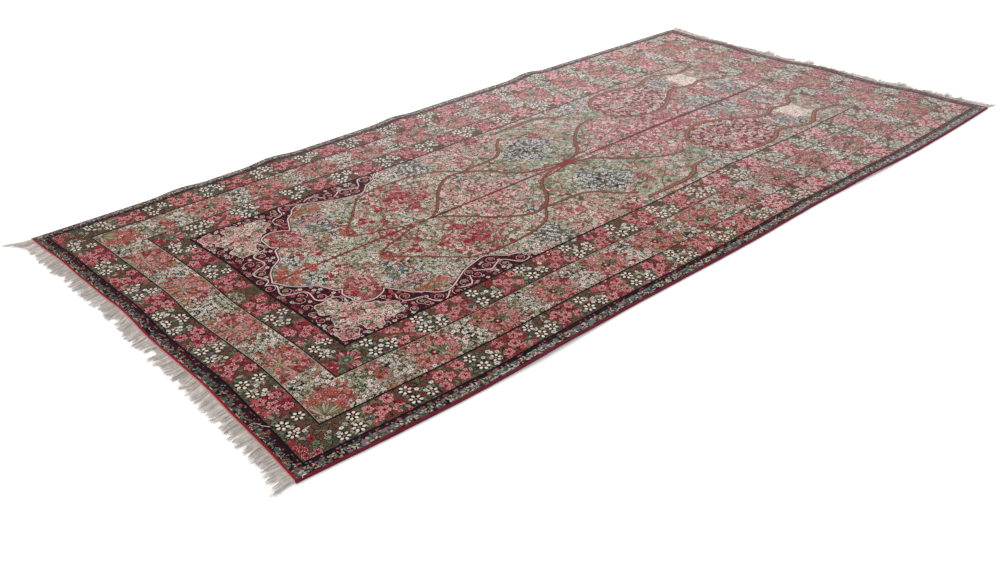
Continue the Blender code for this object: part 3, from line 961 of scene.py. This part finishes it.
def node(tree, kind, inputs=None, out=0, **settings):
    made = tree.nodes.new("ShaderNode" + kind)
    for key, value in settings.items():
        setattr(made, key, value)
    for key, value in (inputs or {}).items():
        if isinstance(value, bpy.types.NodeSocket):
            tree.links.new(value, made.inputs[key])
        else:
            made.inputs[key].default_value = value
    return made.outputs[out]


def maths(tree, operation, a, b=0.0, c=0.0):
    return node(tree, "Math", {0: a, 1: b, 2: c}, operation=operation)


def vectorMaths(tree, operation, a, b, out=0):
    return node(tree, "VectorMath", {0: a, 1: b}, out=out, operation=operation)


def scaled(tree, colour, grey):
    return node(tree, "VectorMath", {0: colour, "Scale": grey}, operation="SCALE")


def mixed(tree, share, first, second):
    return node(tree, "Mix", {0: share, 6: first, 7: second}, out=2, data_type="RGBA")


def linear(colour):
    # screen colour from 0 to 255 as a linear colour
    c = np.array(colour) / 255
    return (*np.where(c <= 0.04045, c / 12.92, ((c + 0.055) / 1.055) ** 2.4), 1.0)


def newMaterial(name, roughness, sheen, tint=(1, 1, 1, 1), specular=0.15):
    material = bpy.data.materials.new(name)
    material.use_nodes = True
    shader = material.node_tree.nodes["Principled BSDF"]
    for key, value in (("Roughness", roughness), ("Sheen Weight", sheen), ("Sheen Roughness", 0.35),
                       ("Sheen Tint", tint), ("Specular IOR Level", specular)):
        shader.inputs[key].default_value = value
    return material, material.node_tree, shader


def varied(tree, colour, where, scale, low, high, detail=2.0):
    # the colour times a noise that runs from low to high
    noise = node(tree, "TexNoise", {"Vector": where, "Scale": scale, "Detail": detail}, noise_dimensions="3D")
    return scaled(tree, colour, node(tree, "MapRange", {0: noise, 1: 0.3, 2: 0.7, 3: low, 4: high}))


wool = {
    "roughness": 0.95, "sheen": 0.045, "tint": (0.84, 0.94, 1.0, 1), "specular": 0.06,
    "knotTone": (0.84, 1.14), "napDepth": 0.0012,
    # painted sheen: where and how much the far, left part of the pile is made paler and cooler
    "paintedSheenFrom": -0.7, "paintedSheenTo": 0.9, "paintedSheenAcross": -0.8, "paintedSheenTint": (1.05, 1.13, 1.2, 1),
    "paintedSheen": 0.17, "paintedSheenTone": (176, 160, 159),
}


def knottedWool(name, nap):
    material, tree, shader = newMaterial(name, wool["roughness"], wool["sheen"] * nap, wool["tint"],
                                         wool["specular"])
    per = chart["knotsPerFace"]
    cell = vectorMaths(tree, "MULTIPLY", node(tree, "UVMap", uv_map="knots"), (per, per, 0))
    cellAxes = node(tree, "SeparateXYZ", {0: cell}).node.outputs
    column, row = (maths(tree, "MINIMUM", maths(tree, "FLOOR", cellAxes[k]), per - 1.0) for k in (0, 1))
    # each face holds six rows of six knots, and a row is one whole number of base 16
    total = 0.0
    for half, first in (("yarnsLow", 0), ("yarnsHigh", 3)):
        masks = {k: maths(tree, "COMPARE", row, float(first + k), 0.25) for k in range(3)}
        code, mask = node(tree, "Attribute", attribute_name=half, out=1), node(tree, "CombineXYZ", masks)
        total = maths(tree, "ADD", total, vectorMaths(tree, "DOT_PRODUCT", code, mask, out=1))
    digit = maths(tree, "FLOOR", maths(tree, "DIVIDE", total, maths(tree, "POWER", 16.0, column)))
    digit = maths(tree, "FLOORED_MODULO", digit, 16.0)
    dyed = node(tree, "ValToRGB", {0: maths(tree, "MULTIPLY_ADD", digit, 1 / 16, 0.5 / 16)})
    ramp = dyed.node.color_ramp
    ramp.interpolation = "CONSTANT"
    while len(ramp.elements) < len(yarns):
        ramp.elements.new(0.5)
    for k, element in enumerate(ramp.elements):
        element.position = k / 16
    for element, yarn in zip(ramp.elements, yarns):
        element.color = linear(dyes[yarn])
    where = node(tree, "TexCoord", out=3)
    own = vectorMaths(tree, "SNAP", where, (knot, knot, 1.0))
    chance = node(tree, "TexWhiteNoise", {0: own}, noise_dimensions="3D")
    low, high = wool["knotTone"]
    colour = scaled(tree, dyed, node(tree, "MapRange", {0: chance, 3: low, 4: high}))
    # painted sheen: the far half and the left side are paler and cooler, standing in for the sheen of the
    # pile seen at a low angle
    x, y, _ = node(tree, "SeparateXYZ", {0: where}).node.outputs
    farLeft = maths(tree, "MULTIPLY_ADD", x, wool["paintedSheenAcross"], y)
    share = node(tree, "MapRange", {0: farLeft, 1: wool["paintedSheenFrom"], 2: wool["paintedSheenTo"]})
    colour = vectorMaths(tree, "MULTIPLY", colour, mixed(tree, share, (1, 1, 1, 1), wool["paintedSheenTint"]))
    colour = mixed(tree, maths(tree, "MULTIPLY", share, wool["paintedSheen"]), colour, linear(wool["paintedSheenTone"]))
    weft = vectorMaths(tree, "MULTIPLY", where, (0.5, 9.0, 1.0))
    colour = varied(tree, colour, weft, 1.0, 0.94, 1.05)
    colour = varied(tree, colour, where, 7.0, 0.93, 1.05, 4.0)
    tree.links.new(colour, shader.inputs["Base Color"])
    fluff = node(tree, "TexNoise", {"Vector": where, "Scale": 900.0, "Detail": 1.0})
    ridge = maths(tree, "PINGPONG", cellAxes[1], 0.5)
    height = maths(tree, "MULTIPLY_ADD", ridge, 0.8 * (1.2 - nap), fluff)
    bump = node(tree, "Bump", {"Height": height, "Distance": wool["napDepth"], "Strength": 0.7})
    tree.links.new(bump, shader.inputs["Normal"])
    return material


def rimOf(ids):
    # the four edges of a grid of point numbers: near, right, far and left, one after the other
    return ids[0], ids[:, -1], ids[-1, ::-1], ids[::-1, 0]


def makePile(picture):
    wide, high, per = chart["faceColumns"], chart["faceRows"], chart["knotsPerFace"]
    s, t = np.meshgrid(np.linspace(-1, 1, wide + 1), np.linspace(-1, 1, high + 1))
    x, y = plan(s, t, rug["selvedgeWidth"] + rug["seamGap"])
    base = lift(x, y)
    calm = (1 - s**12) * (1 - t**20)  # the weave wanders inside, never at the edges
    wx = x + calm * (0.0035 * np.sin(2.3 * y + 1.0) + 0.002 * np.sin(7.1 * y + 3.0 * x))
    nearEnd = np.exp(-(((y + 1.62) / 0.3) ** 2))
    wy = y + calm * (0.004 * np.sin(3.1 * x + 0.7) + 0.0022 * np.sin(8.3 * x - 2.0 * y)
                     + 0.006 * nearEnd * np.cos(6.3 * (x - 0.48)))
    worn = 0.0006 * np.sin(19 * x + 5 * y) * np.sin(13 * y - 4 * x) * calm
    top = base + rug["thickness"] + worn
    rim = (s == -1) | (s == 1) | (t == -1) | (t == 1)
    top[rim] = base[rim] + rug["rimThickness"]
    # the underside has one point for three of the top
    upper, lower = np.stack([wx, wy, top], -1), np.stack([wx, wy, base], -1)[::3, ::3]
    topIds = np.arange(s.size).reshape(s.shape)
    lowIds = np.arange(lower[..., 0].size).reshape(lower.shape[:2]) + s.size
    topFaces, underFaces = cells(topIds), cells(lowIds)[:, ::-1]
    # a wall face joins three short edges of the top to one long edge of the underside
    walls, wallYarns = [], []
    for fine, coarse, yarn in zip(rimOf(topIds), rimOf(lowIds), ("blush", "crimson") * 2):
        rowCode = float(sum(number[yarn] * 16**j for j in range(per)))
        wallYarns.append(np.full((len(coarse) - 1, per), rowCode))
        walls.append(np.stack([coarse[:-1], coarse[1:], fine[3::3], fine[2::3], fine[1::3], fine[:-1:3]], 1))
    walls = np.concatenate(walls)
    slots = np.concatenate([np.zeros(len(topFaces)), np.ones(len(underFaces)), np.zeros(len(walls))])
    materials = [knottedWool("knottedPile", 1.0), knottedWool("knottedBack", 0.3)]
    points = np.vstack([upper.reshape(-1, 3), lower.reshape(-1, 3)])
    made = makeObject("pileSheet", points, [topFaces, underFaces, walls], materials, slots)
    mesh = made.data

    def codes(part):
        # one number for each row of knots in each face
        blocks = part.reshape(len(part) // per, per, -1, per).astype(np.float64)
        return (blocks * 16.0 ** np.arange(per)).sum(-1).transpose(0, 2, 1).reshape(-1, per)

    code = np.vstack([codes(picture), codes(picture[1::3, 1::3])] + wallYarns)
    for half, part in (("yarnsLow", code[:, :3]), ("yarnsHigh", code[:, 3:])):
        attribute = mesh.attributes.new(half, "FLOAT_VECTOR", "FACE")
        attribute.data.foreach_set("vector", part.astype(np.float32).ravel())
    square = np.array([(0, 0), (1, 0), (1, 1), (0, 1)], np.float32)
    knotUv = np.concatenate([np.tile(square, (len(topFaces), 1)), np.tile(square[::-1], (len(underFaces), 1)),
                             np.full((walls.size, 2), 0.5, np.float32)])
    mesh.uv_layers.new(name="knots").data.foreach_set("uv", knotUv.ravel())
    # the baked sheet: the top over three quarters of it, the underside below, the walls in a thin strip
    share = np.stack([(t + 1) / 2, (s + 1) / 2], -1)
    share = np.vstack([share.reshape(-1, 2), share[::3, ::3].reshape(-1, 2)])
    bakeTop = share[topFaces.ravel()] * (0.99, 0.74) + (0.005, 0.255)
    bakeUnder = share[underFaces.ravel()] * (0.99, 0.225) + (0.005, 0.02)
    strip = np.tile(np.array([(0, 0), (1, 0), (1, 1), (0.66, 1), (0.33, 1), (0, 1)]), (len(walls), 1))
    order = np.repeat(np.arange(len(walls)) / len(walls), 6)
    bakeWall = np.stack([0.005 + 0.99 * (order + strip[:, 0] / len(walls)), 0.004 + 0.01 * strip[:, 1]], 1)
    bakeUv = np.concatenate([bakeTop, bakeUnder, bakeWall]).astype(np.float32)
    mesh.uv_layers.new(name="OFBake").data.foreach_set("uv", bakeUv.ravel())
    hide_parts("pile_cloth")
    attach(made, "root")
    return made


selvedge = {
    "reach": 0.0072, "wrap": 0.003, "stepsPerWrap": 3, "around": 9, "relief": 0.0005, "slant": 0.9,
    "finish": (0.85, 0.15, (1.0, 0.7, 0.7, 1)), "tone": (104, 30, 50),
    "noises": ((30.0, 0.75, 1.15, 3.0), (900.0, 0.85, 1.1, 1.0)),
}


def makeSelvedge(name, side, cadNode, material):
    # a half-oval profile carried along the edge, its radius swelling once for each turn of the yarn
    length = 2 * rug["halfLength"]
    steps = int(length / selvedge["wrap"]) * selvedge["stepsPerWrap"]
    t = np.linspace(-1, 1, steps + 1)[:, None]
    angle = np.pi * (np.linspace(0, 1, selvedge["around"]) - 0.5)[None, :]
    x, y = plan(side + 0 * t, t)
    inner = x - side * rug["selvedgeWidth"]
    turns = t * length / 2 / selvedge["wrap"] + selvedge["slant"] * angle / np.pi
    swell = selvedge["relief"] * (np.abs(np.sin(np.pi * turns)) ** 0.7 - 1)
    wander = 0.0003 * np.sin(y * 23) + 0.0002 * np.sin(y * 61)
    radiusX = selvedge["reach"] + swell + wander
    radiusZ = rug["selvedgeHeight"] / 2 + swell
    px = inner + side * radiusX * np.cos(angle)
    pz = lift(inner, y) + rug["selvedgeHeight"] / 2 + radiusZ * np.sin(angle)
    points = np.stack([px, y + 0 * angle, pz], -1).reshape(-1, 3)
    ids = np.arange(px.size).reshape(px.shape)
    faces, ends = cells(closed(ids))[:, [0, 3, 2, 1]], np.array([ids[0], ids[-1, ::-1]])
    if side < 0:
        faces, ends = faces[:, ::-1], ends[:, ::-1]
    made = makeObject(name, points, [faces, ends], [material])
    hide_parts(cadNode)
    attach(made, "root")


fringe = {
    "strands": 20, "bunch": 4, "radius": 0.0009, "rings": 6, "sides": 3, "rootShare": 0.5,
    # tones: the darkest and lightest strand; the darker strands are partly painted shade between the strands
    "tones": (0.36, 1.06), "threadTone": 1.15, "threadRadius": 0.0012, "threadRise": 0.002,
    "webSteps": 720, "finish": (0.9, 0.1), "tone": (240, 231, 224), "webTone": (238, 196, 191),
    "noises": ((60.0, 0.86, 1.08, 3.0), (700.0, 0.88, 1.1, 1.0)),
}
# shorter locks of the near end: from, to and share of their length
shortLocks = ((0.1, 0.15, 0.3), (0.6, 0.63, 0.6), (-0.61, -0.59, 0.6), (-0.55, -0.53, 0.6),
              (-0.3, -0.28, 0.55), (-0.17, -0.15, 0.6), (-0.12, -0.1, 0.6), (0.33, 0.36, 0.7),
              (0.82, 0.84, 0.7))
# locks that differ from the rest: end, from, to, length, lean outwards, rise of the tip
oddLocks = ((-1, -1.0, -0.985, 0.085, -0.034, 0.004), (-1, -0.985, -0.965, 0.066, -0.016, 0.003),
            (-1, 0.975, 1.0, 0.06, 0.004, 0.006), (1, -1.0, -0.98, 0.07, -0.04, 0.006),
            (1, -0.98, -0.95, 0.06, -0.022, 0.004), (1, -0.31, -0.25, 0.066, -0.014, 0.018),
            (1, -0.03, 0.02, 0.062, -0.01, 0.016), (1, 0.5, 0.55, 0.058, 0.006, 0.014),
            (1, 0.76, 0.8, 0.062, -0.012, 0.013), (1, 0.98, 1.0, 0.058, 0.014, 0.006))
# loose threads on the near end of the pile: across, along, length, direction
looseThreads = ((0.908, -1.79, 0.017, 1.9), (0.66, -1.762, 0.042, 0.5), (-0.428, -1.776, 0.024, 2.6))
webProfile = (  # points round the web: distance from the pile in metres and share of its thickness
    (rug["seamGap"], 1.0), (0.003, 1.02), (0.006, 0.98), (rug["webWidth"] - 0.0006, 0.9),
    (rug["webWidth"], 0.6), (rug["webWidth"], 0.05), (0.005, 0.0), (rug["seamGap"], 0.0),
)


def lockTable(end, seed):
    # the locks as their solids have them: middle, half width, length and lean, and the rise of their tips
    chance = random.Random(seed)
    count, pitch = rug["locksPerEnd"], 2.0 / rug["locksPerEnd"]
    starts, stops = [], []
    for k in range(count):
        share = chance.uniform(*rug["lockRootShare"])
        starts.append(-1 + pitch * (k + (1 - share) / 2))
        stops.append(starts[-1] + pitch * share)
    starts[0], stops[-1] = -1.0, 1.0
    lengths, leans = [], []
    for k in range(count):
        length = chance.uniform(*rug["lockLengths"])
        lean = rug["lockLean"] * (math.sin(k * rug["lockSway"]) + chance.uniform(-0.5, 0.5))
        corner = max(0, rug["cornerLocks"] - min(k, count - 1 - k)) / rug["cornerLocks"]
        outwards = -1 if k < count / 2 else 1
        lengths.append(length + (rug["cornerLength"] - length) * corner)
        leans.append(lean * (1 - corner) + outwards * rug["cornerLean"] * corner)
    tables = (starts, stops, lengths, leans)
    starts, stops, lengths, leans = (np.array(values)[:, None, None] for values in tables)
    middle, half = (starts + stops) / 2, (stops - starts) / 2
    for low, high, share in shortLocks if end < 0 else ():
        lengths[(middle > low) & (middle < high)] *= share
    lifted = np.array([chance.random() ** 3 for _ in range(count)])[:, None, None]
    tipRise = 0.003 + 0.01 * lifted * (end > 0)
    for side, low, high, length, lean, rise in oddLocks:
        odd = (side == end) & (middle >= low) & (middle <= high)
        lengths[odd], leans[odd], tipRise[odd] = length, lean, rise
    return middle, half, lengths, leans, tipRise


def makeFringe(name, end, seed, cadNode, materials):
    # three-sided strands run from the web to the tip of each lock, drawn together and frayed
    middle, half, lengths, leans, tipRise = lockTable(end, seed)
    count, inset = len(middle), rug["selvedgeWidth"] + rug["seamGap"]
    draw = np.random.default_rng(seed)
    offset = np.sort(draw.uniform(-1, 1, (count, fringe["strands"], 1)), axis=1)
    own = np.moveaxis(draw.random((count, fringe["strands"], 6, 1)), 2, 0)
    share = np.linspace(0, 1, fringe["rings"])[None, None, :]
    root = np.clip(middle + half * offset * 1.36, -1, 1)
    rootX, rootY = plan(root, end + 0 * root, inset)
    middleX, _ = plan(middle, end + 0 * middle, inset)
    rootZ = lift(rootX, rootY)
    reach = lengths * (0.66 + 0.44 * own[0] ** 0.7)
    gathered = 0.02 + 0.42 * draw.random((count, 1, 1)) ** 1.4
    x = middleX + (rootX - middleX) * (1 - gathered * share**0.8)
    swing = leans + 0.01 * (draw.random((count, 1, 1)) - 0.5)
    x = x + swing * share**2 + 0.014 * (own[1] - 0.5) * share**2
    x = x + 0.0016 * np.sin(5 * share + 6.3 * own[2]) * share
    start = rug["webWidth"] * fringe["rootShare"]
    y = rootY + end * (start + (reach + 0.0025) * share + 0.0012 * np.sin(7 * share + 6.3 * own[3]) * share)
    z = fringe["radius"] + (rootZ + rug["webThickness"]) * (1 - share) ** 2
    z = z + 0.003 * own[4] * (1 - 0.6 * share) * np.sin(np.pi * np.clip(share + 0.15, 0, 1))
    z = z + tipRise * own[5] * share**2
    thick = fringe["radius"] * (0.8 + 0.5 * own[5]) * (1 - 0.45 * share)
    x, y, z, thick = (part.reshape(-1, fringe["rings"]) for part in (x, y, z, thick))
    for cx, cy, length, way in looseThreads if end < 0 else ():
        run = length * (share[0] - 0.5)
        tx = cx + run * math.cos(way) + 0.002 * np.sin(6 * share[0] + cx)
        ty = cy + run * math.sin(way) + 0.003 * np.cos(5 * share[0])
        tz = lift(tx, ty) + rug["thickness"] + fringe["threadRise"]
        thread = (tx, ty, tz, fringe["threadRadius"] + 0 * run)
        x, y, z, thick = (np.vstack([a, b]) for a, b in zip((x, y, z, thick), thread))
    sides = fringe["sides"]
    angle = 2 * np.pi * np.arange(sides) / sides + np.pi / 2
    px = x[..., None] + thick[..., None] * np.cos(angle)
    pz = np.maximum(z[..., None] + thick[..., None] * np.sin(angle), 0.0001)
    strandPoints = np.stack([px, y[..., None] + 0 * px, pz], -1)
    ids = np.arange(px.size).reshape(px.shape)
    tubes, caps = cells(closed(ids)), np.concatenate([ids[:, 0, ::-1], ids[:, -1]])
    # the web is a strip carried along the end
    s = np.linspace(-1, 1, fringe["webSteps"] + 1)[:, None]
    wx, wy = plan(s, end + 0 * s, inset)
    weave = 0.00025 * np.sin(np.arange(len(s)) * 2.4)[:, None]
    out, up = np.array(webProfile).T[:, None, :]
    up = up * rug["webThickness"]
    webY = wy + end * (out + np.where(out > 0.006, weave, 0))
    webZ = lift(wx, wy) + up + np.where(up > 0.001, weave, 0)
    webPoints = np.stack([wx + 0 * out, webY, webZ], -1)
    webIds = np.arange(webZ.size).reshape(webZ.shape) + px.size
    webFaces, webEnds = cells(closed(webIds)), np.array([webIds[0, ::-1], webIds[-1]])
    groups = [faces[:, ::-1] if end > 0 else faces for faces in (tubes, caps, webFaces, webEnds)]
    slots = np.concatenate([np.zeros(len(tubes) + len(caps)), np.ones(len(webFaces) + len(webEnds))])
    points = np.vstack([strandPoints.reshape(-1, 3), webPoints.reshape(-1, 3)])
    made = makeObject(name, points, groups, materials, slots)
    # each strand has its own random tone, from dark to nearly white; the dark strands are partly painted
    # shade, standing in for the shadow between the strands
    darkestTone, lightestTone = fringe["tones"]
    shared = np.repeat(draw.random(count * fringe["strands"] // fringe["bunch"]), fringe["bunch"])
    blended = 0.75 * shared + 0.25 * draw.random(len(shared))
    strandTone = np.full(len(x), fringe["threadTone"])
    strandTone[:len(blended)] = darkestTone + (lightestTone - darkestTone) * blended ** 0.75
    tubeTone = np.repeat(strandTone, (fringe["rings"] - 1) * sides)
    tone = np.concatenate([tubeTone, np.tile(strandTone, 2), np.ones(len(webFaces) + len(webEnds))])
    made.data.attributes.new("strandTone", "FLOAT", "FACE").data.foreach_set("value", tone.astype(np.float32))
    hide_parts(cadNode)
    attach(made, "root")


def spunYarn(name, piece, tone, toned=False):
    # one colour, times each strand's own tone where the piece has one, times a coarse and a fine noise
    material, tree, shader = newMaterial(name, *piece["finish"])
    where = node(tree, "TexCoord", out=3)
    colour = node(tree, "RGB")
    colour.default_value = linear(tone)
    if toned:
        colour = scaled(tree, colour, node(tree, "Attribute", attribute_name="strandTone", out=2))
    for noise in piece["noises"]:
        colour = varied(tree, colour, where, *noise)
    tree.links.new(colour, shader.inputs["Base Color"])
    return material


design = makeChart()
print("chart made")
pile = makePile(design)
print("pile made")
redWool = spunYarn("overcastWool", selvedge, selvedge["tone"])
makeSelvedge("selvedgeLeft", -1, "selvedge_left", redWool)
makeSelvedge("selvedgeRight", 1, "selvedge_right", redWool)
print("selvedges made")
warps = [spunYarn("cottonWarp", fringe, fringe["tone"], True),
         spunYarn("cottonWeb", fringe, fringe["webTone"], True)]
makeFringe("fringeNear", -1, 11, "fringe_near", warps)
makeFringe("fringeFar", 1, 23, "fringe_far", warps)
print("fringes made")

# floor, light and camera
studio = {"floor": (244, 243, 242), "floorSize": 30, "glow": 0.16, "sky": 0.8, "lamp": 120.0, "lampSize": 3.0,
          "lampPlace": (-2.5, 1.5, 3.2)}
bpy.ops.mesh.primitive_plane_add(size=studio["floorSize"], location=(0, 0, 0))
floor = bpy.context.object
floor.name = "floor"
plain, _, plainShader = newMaterial("paleFloor", 0.9, 0.0)
plainShader.inputs["Base Color"].default_value = linear(studio["floor"])
plainShader.inputs["Emission Color"].default_value = (1, 1, 1, 1)
plainShader.inputs["Emission Strength"].default_value = studio["glow"]
floor.data.materials.append(plain)

world = bpy.data.worlds.new("studio")
world.use_nodes = True
world.node_tree.nodes["Background"].inputs["Color"].default_value = (1, 1, 1, 1)
world.node_tree.nodes["Background"].inputs["Strength"].default_value = studio["sky"]
bpy.context.scene.world = world

lamp = bpy.data.lights.new("softbox", "AREA")
lamp.energy, lamp.size = studio["lamp"], studio["lampSize"]
lampObject = bpy.data.objects.new("softbox", lamp)
lampObject.location = studio["lampPlace"]
lampObject.rotation_euler = (-lampObject.location).to_track_quat("-Z", "Y").to_euler()
bpy.context.scene.collection.objects.link(lampObject)

view = {"place": (2.6637, -2.6466, 1.6431), "aim": (0.557, -0.8238, 0.0), "roll": 1.8755, "lens": 35.755}
cameraData = bpy.data.cameras.new("camera")
cameraData.sensor_width = 36
cameraData.lens = view["lens"]
cameraObject = bpy.data.objects.new("camera", cameraData)
forward = (Vector(view["aim"]) - Vector(view["place"])).normalized()
level = forward.to_track_quat("-Z", "Y").to_matrix().to_4x4()
turned = Matrix.Rotation(math.radians(view["roll"]), 4, forward) @ level
cameraObject.matrix_world = Matrix.Translation(view["place"]) @ turned
bpy.context.scene.collection.objects.link(cameraObject)
bpy.context.scene.camera = cameraObject
bpy.context.scene.view_settings.view_transform = "Standard"
print("light and camera set")
